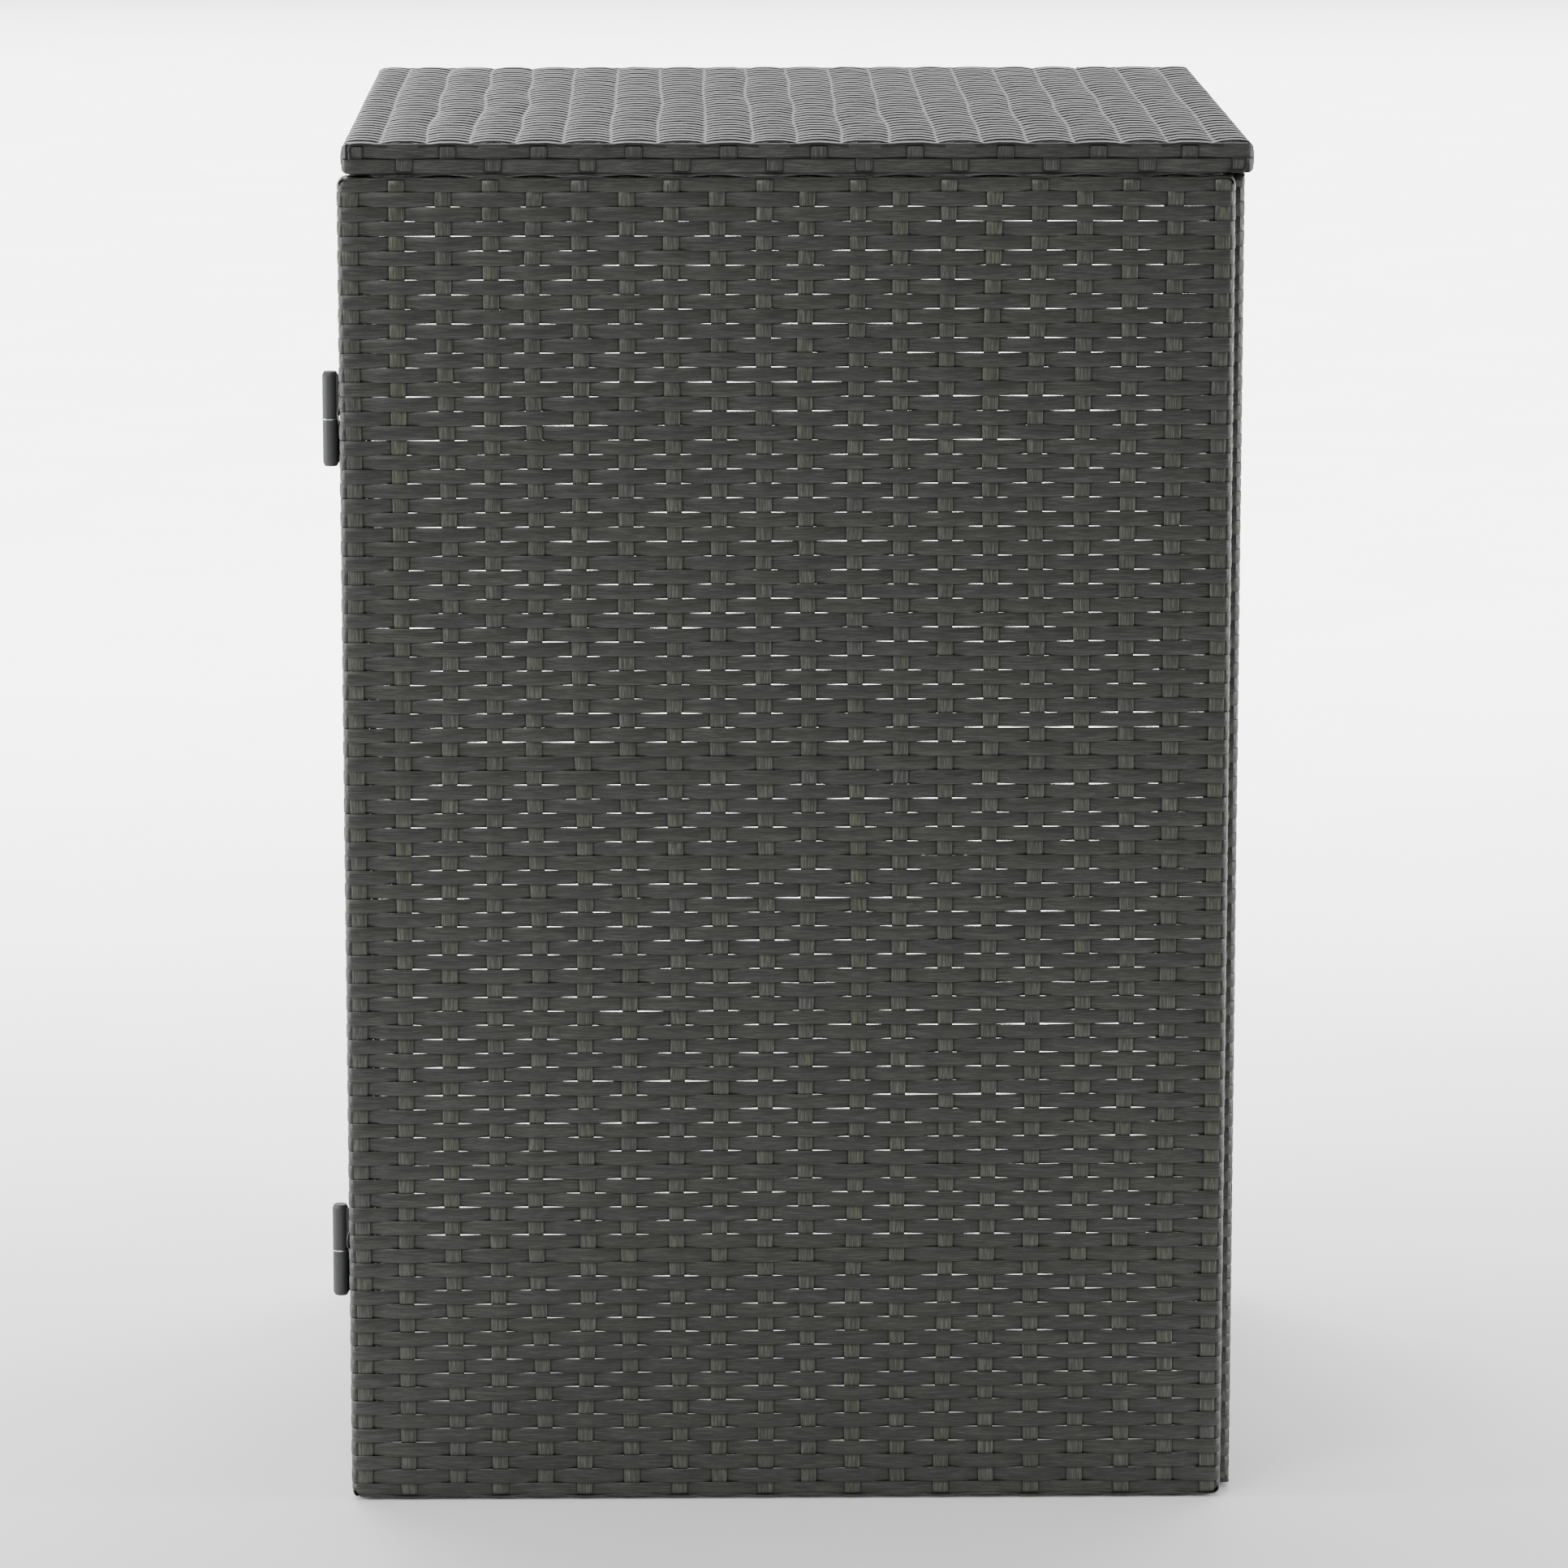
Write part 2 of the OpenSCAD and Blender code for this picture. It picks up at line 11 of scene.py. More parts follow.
import bpy
import numpy as np
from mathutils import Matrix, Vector


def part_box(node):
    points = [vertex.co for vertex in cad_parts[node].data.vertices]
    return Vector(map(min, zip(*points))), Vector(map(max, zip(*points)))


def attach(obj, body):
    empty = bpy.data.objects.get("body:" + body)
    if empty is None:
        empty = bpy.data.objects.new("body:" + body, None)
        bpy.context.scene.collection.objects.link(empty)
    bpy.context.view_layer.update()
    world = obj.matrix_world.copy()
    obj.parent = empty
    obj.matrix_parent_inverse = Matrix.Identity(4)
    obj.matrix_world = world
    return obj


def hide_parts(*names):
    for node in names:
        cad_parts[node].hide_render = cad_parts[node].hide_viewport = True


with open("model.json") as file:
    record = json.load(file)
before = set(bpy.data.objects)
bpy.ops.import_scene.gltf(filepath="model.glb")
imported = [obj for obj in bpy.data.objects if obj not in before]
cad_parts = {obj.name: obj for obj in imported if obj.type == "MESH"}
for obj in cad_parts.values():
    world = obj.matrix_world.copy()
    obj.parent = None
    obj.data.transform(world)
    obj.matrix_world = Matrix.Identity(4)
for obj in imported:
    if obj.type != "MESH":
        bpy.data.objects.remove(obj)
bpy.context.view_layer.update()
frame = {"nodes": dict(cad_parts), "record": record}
MM = 0.001

# Strips
STRIP_THICK = 1.2 * MM
STRIP_CROWN = 0.22 * MM
WARP_PITCH = 39.2 * MM
WARP_WIDTH = 13.4 * MM
WARP_WIDTH_SPREAD = (0.96, 1.03)
FIRST_WARP = 12.5 * MM
WEFT_PITCH = 12.6 * MM
WEFT_SWING = 1.35 * MM
WARP_SWING = 0.7 * MM
WARP_SQUARE = 2.2
FULL_SKIN = 3.0 * MM
PLAIN_EDGE = (0.6 * MM, 0.12)
SHARP_EDGE = math.radians(38)

# Panel corners and the turns round the tubes
CORNER_R = 7.0 * MM
SIDE_BEND = 5.0 * MM
END_BEND = 2.5 * MM
BEND_ANGLES = [math.radians(a) for a in (15, 45, 75)]
CORNER_TURN = np.radians([22, 45, 68, 90])
CORNER_LIFT = np.array([0.5, 0.5, 0.3, -0.6])
LIP_PLACES = 3

# Rims
RIM_WARP_HALF = 5.5 * MM
RIM_SWING = 0.8
RIM_EDGE_SHARE = 0.75
RIM_END_TUCK = 1.0 * MM
RIM_FOLD = 0.8 * MM
END_ROW_FOLD = 1.0 * MM
END_ROW_LIFT = 0.7
LIP_SPACE = 0.1 * MM
LIP_START = 0.5 * MM

# Shares for the six points of a strip's section, from its lower edge over its face to its back
LOW_FOLD = np.array([1.0, 0.3, 0.0, 0.0, 0.0, 0.0])
HIGH_FOLD = np.array([0.0, 0.0, 0.0, 0.3, 1.0, 0.0])
SLIT_SHARE = np.array([1.0, 1.0, 0.35, 0.0, 0.0, 0.35])
FLAT_SLIT = 0.5

# Unevenness of handwork
COLUMN_JITTER = 1.0 * MM
COLUMN_WANDER = 1.9 * MM
OUTER_COLUMN_WANDER = 0.7 * MM
ROW_WANDER = 0.22 * MM
LIFT_JITTER = 0.03 * MM
TIGHT_SHARE = 0.05
TIGHT_LAP = -0.5 * MM
SLIT_SPREAD = (0.4, 1.6)
SLIT_FULL = 4.0 * MM
SLIT_TAPER = 9.0 * MM
TAPER_LIMIT = 0.42
FACE_MARGIN = 0.02 * MM
UNCOVERED = 20.0 * MM
BOW_SHARP = 1.5
ROW_SAMPLES = np.array([0.0, 0.14, 0.5, 0.86])

# Where a hinge leaf takes the place of strips
LEAF_SPARE = 1.0 * MM
PIN_LEAF_SPARE = 5 * LEAF_SPARE
BULGE_ABOVE = 11 * MM
BULGE_REACH = 22 * MM
BULGE_SIZE = 2.2 * MM


class Style(NamedTuple):
    """How a skin is woven.

    pitch is the width of a crosswise row, slit how far its lower edge is squeezed up
    beside a lengthwise strip, and lap how far it reaches past its pitch at each edge.
    The gains scale how far the weft and the warp swing and how thick the strips are.
    bow raises the weft over each crossing by its first number and lowers it under the
    crossing by its second. edge is the width of a strip's rounded edge and how high it
    ends, as a share of the thickness. wander scales the unevenness of the rows.
    """

    pitch: float
    slit: float
    lap: float
    weft_gain: float
    warp_gain: float
    thick_gain: float
    bow: tuple
    edge: tuple
    wander: float


class Gap(NamedTuple):
    """A stretch, from low to high, where a hinge leaf takes the place of strips.

    side is the near or far side, and stage is what is left out there: the back lip of
    the crosswise strips, their lip and rim, or everything on an end face and its lip.
    """

    low: float
    high: float
    side: str
    stage: str


UPRIGHT = Style(WEFT_PITCH, 0.14 * MM, 0.05 * MM, 1.0, 1.0, 1.0, (), PLAIN_EDGE, 1.0)
FLAT = Style(11.35 * MM, 0.0, 1.0 * MM, 1.2, 0.35, 1.25, (1.5, 0.9), (0.7 * MM, -0.45), 2.4)


class Panel:
    """A woven panel: u runs along its weft, v along its warp, n out of its face.

    The origin is the corner where u and v start, on the outer face, so n is 0 on the
    face and -t at the back.
    """

    def __init__(self, node, axes, seed):
        low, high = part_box(node)
        self.axes = [np.array(axis, float) for axis in axes]
        outward = self.axes[2]
        self.origin = np.array([high[i] if outward[i] > 0 else low[i] for i in range(3)])
        size = np.array(high) - np.array(low)
        self.w, self.h, self.t = [float(abs(np.dot(size, axis))) for axis in self.axes]
        self.lies_flat = self.axes[1][2] < 0.5
        self.rng = np.random.default_rng(seed)

    def place(self, u, v, n):
        """Panel coordinates to the shared frame."""
        return (
            self.origin
            + np.multiply.outer(u, self.axes[0])
            + np.multiply.outer(v, self.axes[1])
            + np.multiply.outer(n, self.axes[2])
        )


class Strips:
    """Gathers strips into one mesh."""

    def __init__(self, panel):
        self.panel = panel
        self.verts, self.faces, self.coords, self.covers = [], [], [], []
        self.count = 0

    def add(self, grid, across, along, cover):
        """A strip from its grid of points, sections by profile points, closed at both ends.

        cover is how far each section is from the nearest strip that passes over it; the strip materials
        paint shade by it, darkest beside the covering strip.
        """
        sections, ring = grid.shape[:2]
        self.verts.append(grid.reshape(-1, 3))
        coords = np.empty((sections, ring, 3))
        coords[..., 0] = along[:, None]
        coords[..., 1] = across
        coords[..., 2] = self.panel.rng.random()
        self.coords.append(coords.reshape(-1, 3))
        self.covers.append(np.repeat(cover, ring))
        index = self.count + np.arange(sections * ring).reshape(sections, ring)
        self.faces.extend(strip_faces(index, turned_inward(grid)))
        self.count += sections * ring

    def build(self, name, material):
        """The mesh of all the strips, as an object with one material."""
        mesh = bpy.data.meshes.new(name)
        mesh.from_pydata(np.concatenate(self.verts).tolist(), [], self.faces)
        strand = mesh.attributes.new("strand", "FLOAT_VECTOR", "POINT")
        strand.data.foreach_set("vector", np.concatenate(self.coords).astype(np.float32).ravel())
        # How near a covering strip each point lies, which the strip materials turn into painted crease
        # shade.
        cover = mesh.attributes.new("cover", "FLOAT", "POINT")
        cover.data.foreach_set("value", np.concatenate(self.covers).astype(np.float32))
        mesh.polygons.foreach_set("use_smooth", [True] * len(mesh.polygons))
        mesh.set_sharp_from_angle(angle=SHARP_EDGE)
        mesh.materials.append(material)
        piece = bpy.data.objects.new(name, mesh)
        bpy.context.scene.collection.objects.link(piece)
        return piece


def turned_inward(grid):
    """Whether the faces of a strip, taken in the order of its grid, would face inward."""
    half = len(grid) // 2
    middle = grid[half].mean(0)
    ring = grid[half] - middle
    ring_normal = np.cross(ring, np.roll(ring, -1, axis=0)).sum(0)
    return np.dot(ring_normal, middle - grid[half - 1].mean(0)) < 0


def strip_faces(index, flip):
    """The faces of a strip from the numbers of its points, sections by profile points."""
    turned = np.roll(index, -1, axis=1)
    quads = np.stack([index[:-1], turned[:-1], turned[1:], index[1:]], axis=-1).reshape(-1, 4)
    ends = [index[0][::-1].tolist(), index[-1].tolist()]
    if flip:
        quads = quads[:, ::-1]
        ends = [end[::-1] for end in ends]
    return quads.tolist() + ends


def smooth(x):
    """Eases from 0 to 1 as x goes from 0 to 1."""
    x = np.clip(x, 0.0, 1.0)
    return x * x * (3.0 - 2.0 * x)


def slow_wave(rng, size, waves=4):
    """A smooth random curve over 0 to 1 with about the given size."""
    freq = rng.uniform(0.4, 3.2, waves)
    phase = rng.uniform(0.0, 2 * math.pi, waves)
    gain = rng.normal(0.0, size / math.sqrt(waves), waves)

    def wave(x):
        x = np.asarray(x, float)
        return (gain * np.sin(2 * math.pi * np.multiply.outer(x, freq) + phase)).sum(-1)

    return wave


def wrap_path(length, t, depth, lip, steps, r):
    """The path of a strip round a panel, in its own length and the panel's depth.

    It starts on the back lip, turns round the near tube, crosses the face and goes
    round the far tube to the other lip. Returns the place and its outward normal, how
    far it has run, with 0 where the face starts, and how many points come before the face.
    """
    front, back = -depth, -t + depth
    middle = (front + back) / 2
    near = [(lip, back, 0, -1), (lip * 0.5, back, 0, -1), (depth + r, back, 0, -1)]
    near += [
        (depth + r - r * math.sin(a), back + r - r * math.cos(a), -math.sin(a), -math.cos(a))
        for a in BEND_ANGLES
    ]
    near += [(depth, n, -1, 0) for n in (back + r, middle - RIM_WARP_HALF, middle)]
    near += [(depth, n, -1, 0) for n in (middle + RIM_WARP_HALF, front - r)]
    near += [
        (depth + r - r * math.cos(a), front - r + r * math.sin(a), -math.cos(a), math.sin(a))
        for a in BEND_ANGLES
    ]
    face = [(s, front, 0, 1) for s in steps]
    far = [(length - s, n, -ns, nn) for s, n, ns, nn in reversed(near)]
    path = np.array(near + face + far, float)
    run = np.concatenate([[0], np.cumsum(np.hypot(np.diff(path[:, 0]), np.diff(path[:, 1])))])
    run += path[len(near), 0] - run[len(near)]
    return path, run, len(near)


def profile(half, thick, rounding=PLAIN_EDGE):
    """The strip's section: places across it, and heights over its middle plane."""
    turn, drop = rounding
    across = np.array([-half, -half + turn, 0.0, half - turn, half, 0.0])
    edge, face = drop * thick, 0.5 * thick
    height = np.array([edge, face, face + STRIP_CROWN, face, edge, -face])
    return across, height


def inset(v, length):
    """How far a panel's rounded corner pulls its side in, at v along that side."""
    d = np.clip(CORNER_R - np.minimum(v, length - v), 0.0, CORNER_R)
    return CORNER_R - np.sqrt(CORNER_R**2 - d**2)


def corner_shift(along, length, across, width):
    """How far a wrapping strip moves in where it rounds a corner of the panel."""
    toward = np.where(along < length / 2, 1.0, -1.0)
    nearness = np.clip(1 - np.minimum(along, length - along) / (3 * CORNER_R), 0, 1)[:, None]
    return toward[:, None] * nearness * inset(across, width)


def drop_ends(keep, count, near=True, far=True):
    """Leaves out this many places at the near end, the far end or both."""
    if near:
        keep[:count] = False
    if far:
        keep[len(keep) - count:] = False


def stretches(low, high, cuts):
    """What is left of low to high once the cuts are taken out."""
    left, start = [], low
    for cut_low, cut_high in sorted(cuts):
        left.append((start, cut_low))
        start = cut_high
    left.append((start, high))
    return left


class Weave:
    """One panel's weave: its rows, its columns and how they cross."""

    def __init__(self, panel, skin, tube, gaps, bulges, style):
        self.p = panel
        self.style = style
        self.depth = skin / 2
        self.lip = skin + tube
        self.gaps = gaps
        self.bulges = bulges
        self.rows = int(round(panel.h / style.pitch))
        self.pitch = panel.h / self.rows
        self.rim_rows = max(1, int(round(panel.t / WEFT_PITCH)))
        scale = skin / FULL_SKIN
        self.thick = STRIP_THICK * scale * style.thick_gain
        self.swing = WEFT_SWING * scale * style.weft_gain
        self.warp_swing = WARP_SWING * scale * style.warp_gain
        self.lay_out(panel.rng)

    def lay_out(self, rng):
        """Where the columns stand, and how columns and rows wander."""
        cols = int(round((self.p.w - 2 * FIRST_WARP) / WARP_PITCH)) + 1
        self.cols = cols
        self.col_at = np.linspace(FIRST_WARP, self.p.w - FIRST_WARP, cols)
        self.col_at[1:-1] += rng.normal(0, COLUMN_JITTER, cols - 2)
        wander = [COLUMN_WANDER if 0 < j < cols - 1 else OUTER_COLUMN_WANDER for j in range(cols)]
        self.col_wave = [slow_wave(rng, size) for size in wander]
        self.row_wave = [slow_wave(rng, ROW_WANDER) for _ in range(self.rows)]
        self.tight = rng.random(self.rows) < TIGHT_SHARE

    def columns(self, v):
        """Where each column runs at v."""
        x = v / self.p.h
        return np.array([at + float(wave(x)) for at, wave in zip(self.col_at, self.col_wave)])

    def weft_height(self, u, columns, sign):
        """How far a crosswise strip stands out at u."""
        place = np.interp(u, columns, np.arange(self.cols))
        fade = smooth(u / columns[0]) * smooth((self.p.w - u) / (self.p.w - columns[-1]))
        return sign * self.swing * np.cos(math.pi * place) * fade

    def face_height(self, u, columns, sign):
        """The same on the face, where a bowed weave stands proud over most of each crossing."""
        height = self.weft_height(u, columns, sign)
        if not self.style.bow:
            return height
        over, under = self.style.bow
        level = np.tanh(BOW_SHARP * height / self.swing) / math.tanh(BOW_SHARP)
        return self.swing * level * np.where(level > 0, over, under)

    def weft_steps(self, columns):
        """Places to sample a crosswise strip: columns, their edges and the ends of the slits."""
        edge = WARP_WIDTH / 2
        start = SIDE_BEND + self.depth
        steps = [start]
        for here, there in zip(columns[:-1], columns[1:]):
            gap = there - here
            taper = min(edge + SLIT_FULL + 0.5 * SLIT_TAPER, gap * TAPER_LIMIT)
            steps += [here, here + edge, here + taper]
            steps += [here + gap * 0.5, there - taper, there - edge]
        return np.array(steps + [columns[-1], self.p.w - start])

    def weft(self, out):
        """Every crosswise strip, over the face and round the side tubes to the back lips."""
        for i in range(self.rows):
            self.weft_strip(out, i)

    def weft_strip(self, out, i):
        """The crosswise strip of row i."""
        p = self.p
        middle = (i + 0.5) * self.pitch
        sign = 1 if i % 2 == 0 else -1
        columns = self.columns(middle)
        steps = self.weft_steps(columns)
        path, run, before = wrap_path(p.w, p.t, self.depth, self.lip, steps, SIDE_BEND)
        keep = self.weft_kept(middle, len(path), before)
        end_row = i in (0, self.rows - 1)
        lift = self.weft_lift(path, columns, sign) * (END_ROW_LIFT if end_row else 1.0)
        path, run, lift = path[keep], run[keep], lift[keep]
        u = path[:, 0]
        lift = lift + p.rng.normal(0, LIFT_JITTER, len(u)) * self.style.wander
        cover = self.weft_cover(path, columns, sign)
        across, height = profile(self.pitch / 2 + self.style.lap, self.thick, self.style.edge)
        if end_row:
            height = height - END_ROW_FOLD * (LOW_FOLD if i == 0 else HIGH_FOLD)
        v = self.row_edges(i, middle, path, columns, sign, across)
        out_h = lift[:, None] + height
        shift = corner_shift(u, p.w, v, p.h)
        grid = p.place(u[:, None] + path[:, 2:3] * out_h + shift, v, path[:, 1:2] + path[:, 3:4] * out_h)
        out.add(grid, across, run, cover)

    def row_edges(self, i, middle, path, columns, sign, across):
        """Where each point of a crosswise strip's section lies along the panel."""
        u = path[:, 0]
        wander = self.style.wander * self.row_wave[i](u / self.p.w)
        v = middle + wander[:, None] + np.broadcast_to(across, (len(u), len(across))).copy()
        pull = self.slit_pull(u, columns, sign, i) * (path[:, 3] > 0.5)
        v = v + pull[:, None] * (SLIT_SHARE * FLAT_SLIT if self.p.lies_flat else SLIT_SHARE)
        return np.clip(v, FACE_MARGIN, self.p.h - FACE_MARGIN)

    def weft_lift(self, path, columns, sign):
        """How far a crosswise strip stands out, on the face and over or under the rim strips."""
        lift = np.where(path[:, 3] > 0.5, self.face_height(path[:, 0], columns, sign), 0.0)
        from_middle = np.abs(path[:, 1] + self.p.t / 2)
        on_rim = (np.abs(path[:, 2]) > 0.99) & (from_middle < RIM_WARP_HALF * 1.1)
        share = np.where(from_middle < 1e-9, 1.0, RIM_EDGE_SHARE)
        near = path[:, 0] < self.p.w / 2
        rim_sign = np.where(near, -sign, sign * (1 if self.cols % 2 == 0 else -1))
        return np.where(on_rim, rim_sign * share * self.swing * RIM_SWING, lift)

    def crossing_gap(self, u, columns, sign):
        """How far u is from the edge of the nearest lengthwise strip over a crosswise one."""
        over = [at for j, at in enumerate(columns) if sign * math.cos(math.pi * j) < 0]
        away = np.abs(np.asarray(u)[:, None] - np.array(over)[None, :])
        return away.min(1) - WARP_WIDTH / 2

    def weft_cover(self, path, columns, sign):
        """The same along a whole crosswise strip, its side rims included."""
        on_rim = np.abs(path[:, 2]) > 0.99
        near = path[:, 0] < self.p.w / 2
        covered = np.where(near, sign > 0, sign * (-1) ** self.cols < 0)
        rim = np.where(covered, np.abs(path[:, 1] + self.p.t / 2) - RIM_WARP_HALF, UNCOVERED)
        return np.where(on_rim, rim, self.crossing_gap(path[:, 0], columns, sign))

    def warp_cover(self, j, row):
        """How far along a lengthwise strip the edge of the nearest crosswise strip over it is."""
        into = row - np.floor(row)
        from_edge = np.minimum(into, 1 - into) * self.pitch
        over = (np.floor(row).astype(int) + j) % 2 == 1
        return np.where(over, from_edge, -from_edge)

    def weft_kept(self, middle, count, before):
        """Which places of a crosswise strip are there: it stops short at a hinge leaf."""
        keep = np.ones(count, bool)
        for gap in self.gaps:
            if gap.stage != "end" and gap.low < middle < gap.high:
                cut = LIP_PLACES if gap.stage == "lip" else before
                drop_ends(keep, cut, near=gap.side == "near", far=gap.side == "far")
        return keep

    def slit_pull(self, u, columns, sign, i):
        """How far a crosswise strip's lower edge is squeezed up beside the columns over it."""
        pull = np.zeros(len(u))
        if i == 0:
            return pull
        for j, at in enumerate(columns):
            size = self.style.slit * self.p.rng.uniform(*SLIT_SPREAD)
            if sign * math.cos(math.pi * j) < 0:
                size = TIGHT_LAP if self.tight[i] else size
                away = np.abs(u - at) - WARP_WIDTH / 2
                pull += size * (1 - smooth((away - SLIT_FULL) / SLIT_TAPER))
        return pull

    def row_samples(self):
        """Places to sample a lengthwise strip: the same few in every row."""
        return np.concatenate([i + ROW_SAMPLES for i in range(self.rows)]) * self.pitch

    def warp(self, out):
        """Every lengthwise strip, over one and under one, round the end tubes to the back lips."""
        steps = self.row_samples()
        start = END_BEND + self.depth
        steps = steps[(steps > start) & (steps < self.p.h - END_BEND - self.depth)]
        for j in range(self.cols):
            self.warp_strip(out, j, steps)

    def warp_strip(self, out, j, steps):
        """The lengthwise strip of column j."""
        p = self.p
        path, run, before = wrap_path(p.h, p.t, self.depth, self.lip, steps, END_BEND)
        keep = self.warp_kept(j, len(path), before)
        path, run = path[keep], run[keep]
        v = path[:, 0]
        row = self.row_of(path)
        lift = self.warp_height(j, row) + p.rng.normal(0, LIFT_JITTER, len(v))
        lift = np.where(np.abs(path[:, 2] * path[:, 3]) > 0.01, 0.0, lift)
        half = WARP_WIDTH / 2 * p.rng.uniform(*WARP_WIDTH_SPREAD)
        across, height = profile(half, self.thick)
        u = (self.col_at[j] + self.col_wave[j](v / p.h))[:, None] + across
        out_h = lift[:, None] + height
        shift = corner_shift(v, p.h, u, p.w)
        grid = p.place(u, v[:, None] + path[:, 2:3] * out_h + shift, path[:, 1:2] + path[:, 3:4] * out_h)
        out.add(grid, across, run, self.warp_cover(j, row))

    def row_of(self, path):
        """The row that a lengthwise strip crosses, counted on round the end tubes."""
        p = self.p
        from_end = np.minimum(path[:, 0], p.h - path[:, 0])
        on_lip = self.rim_rows + from_end / WEFT_PITCH
        beyond = np.where(path[:, 3] < -0.5, on_lip, -path[:, 1] * self.rim_rows / p.t)
        past = np.where(path[:, 0] < p.h / 2, -beyond, self.rows + beyond)
        return np.where(path[:, 3] > 0.5, path[:, 0] / self.pitch, past)

    def warp_height(self, j, row):
        """How far a lengthwise strip stands out at each row: over one, under one."""
        swing = np.tanh(WARP_SQUARE * np.cos(math.pi * (row - 0.5))) / math.tanh(WARP_SQUARE)
        return (-1 if j % 2 == 0 else 1) * self.warp_swing * swing

    def warp_kept(self, j, count, before):
        """The outer columns stop short of the lips, where the wrapped rows cover the corner."""
        keep = np.ones(count, bool)
        if j in (0, self.cols - 1):
            drop_ends(keep, LIP_PLACES + 1)
        for gap in self.gaps:
            if gap.stage == "end" and gap.low < self.col_at[j] < gap.high:
                drop_ends(keep, before, near=gap.side == "near", far=gap.side == "far")
        return keep

    def rim_warps(self, out):
        """A lengthwise strip down each side rim, over one and under one of the wrapped strips."""
        cuts = [(gap.low, gap.high) for gap in self.gaps if gap.stage == "rim"]
        start = CORNER_R * 0.7
        for side, j, face in ((-1, -1, self.depth), (1, self.cols, self.p.w - self.depth)):
            for low, high in stretches(start, self.p.h - start, cuts if side < 0 else []):
                self.rim_warp(out, side, j, face, low, high)

    def rim_warp(self, out, side, j, face, low, high):
        """A stretch of the lengthwise strip down one side rim, with its ends tucked in."""
        p = self.p
        steps = self.row_samples()
        inner = steps[(steps > low + MM) & (steps < high - MM)]
        v = np.concatenate([[low], inner, [high]])
        lift = self.warp_height(j, v / self.pitch) + p.rng.normal(0, LIFT_JITTER, len(v))
        for at in self.bulges if side < 0 else []:
            lift = lift + BULGE_SIZE * smooth(1 - np.abs(v - at) / BULGE_REACH)
        lift[[0, -1]] = -RIM_END_TUCK
        across, height = profile(RIM_WARP_HALF, self.thick)
        out_h = lift[:, None] + height
        n = np.broadcast_to(-p.t / 2 + across, out_h.shape)
        grid = p.place(face + side * out_h, np.broadcast_to(v[:, None], out_h.shape), n)
        out.add(grid, across, v, self.warp_cover(j, v / self.pitch))

    def rims(self, out):
        """The crosswise strips on the end faces and on the back lips of the end tubes."""
        lip_rows = max(1, int(round((self.lip - self.depth) / WEFT_PITCH)))
        for end in (0, 1):
            columns = self.columns(end * self.p.h)
            for k in range(self.rim_rows):
                self.rim_row(out, end, columns, k)
            for k in range(lip_rows):
                self.lip_row(out, end, columns, k, lip_rows)

    def spans(self, end, low, high):
        """Stretches of an end face or lip that no hinge takes."""
        side = "near" if end == 0 else "far"
        cuts = [(g.low, g.high) for g in self.gaps if g.stage == "end" and g.side == side]
        return stretches(low, high, cuts)

    def row_steps(self, low, high, columns):
        """Places to sample a strip that runs from low to high along an end face or lip."""
        steps = self.weft_steps(columns)
        steps = steps[(steps > low + MM) & (steps < high - MM)]
        return np.concatenate([[low], steps, [high]])

    def row_sign(self, end, past):
        """Whether a strip that lies this many rows past an end starts over (1) or under (-1)."""
        parity = (-1 - past if end == 0 else self.rows + past) % 2
        return 1 if parity == 0 else -1

    def rim_row(self, out, end, columns, k):
        """One strip along an end face, from corner to corner."""
        p = self.p
        width = p.t / self.rim_rows
        sign = self.row_sign(end, k)
        side = -1.0 if end == 0 else 1.0
        face = self.depth if end == 0 else p.h - self.depth
        across, height = profile(width / 2, self.thick)
        if k == 0:
            height = height - RIM_FOLD * (HIGH_FOLD if end == 0 else LOW_FOLD)
        for low, high in self.spans(end, CORNER_R, p.w - CORNER_R):
            u = self.row_steps(low, high, columns)
            row = [u, np.full(len(u), face), np.zeros(len(u)), np.full(len(u), side)]
            row.append(self.weft_height(u, columns, sign))
            if low == CORNER_R:
                row = self.round_corner(row, side, True)
            if high == p.w - CORNER_R:
                row = self.round_corner(row, side, False)
            u, v, out_u, out_v, lift = row
            out_h = lift[:, None] + height
            at_u = u[:, None] + out_u[:, None] * out_h
            n = self.pinched(-(k + 0.5) * width - side * across, at_u)
            grid = p.place(at_u, v[:, None] + out_v[:, None] * out_h, n)
            run = np.concatenate([[0], np.cumsum(np.hypot(np.diff(u), np.diff(v)))])
            out.add(grid, across, run, self.crossing_gap(u, columns, sign))

    def pinched(self, n, at_u):
        """The depths n of an end face's strip, kept within the rounded ends of the face."""
        bend = SIDE_BEND + self.depth
        short = np.clip(bend - np.minimum(at_u, self.p.w - at_u), 0.0, bend)
        pinch = bend - np.sqrt(bend**2 - short**2)
        return np.clip(np.broadcast_to(n, at_u.shape), -self.p.t + pinch, -pinch)

    def round_corner(self, row, side, near):
        """Carries a rim strip round a corner of the panel and tucks its end in."""
        r = CORNER_R - self.depth
        centre_u = CORNER_R if near else self.p.w - CORNER_R
        centre_v = CORNER_R if side < 0 else self.p.h - CORNER_R
        out_u = -1.0 if near else 1.0
        arc = [
            centre_u + out_u * r * np.sin(CORNER_TURN),
            centre_v + side * r * np.cos(CORNER_TURN),
            out_u * np.sin(CORNER_TURN),
            side * np.cos(CORNER_TURN),
            CORNER_LIFT * self.swing,
        ]
        if near:
            return [np.concatenate([new[::-1], old]) for old, new in zip(row, arc)]
        return [np.concatenate([old, new]) for old, new in zip(row, arc)]

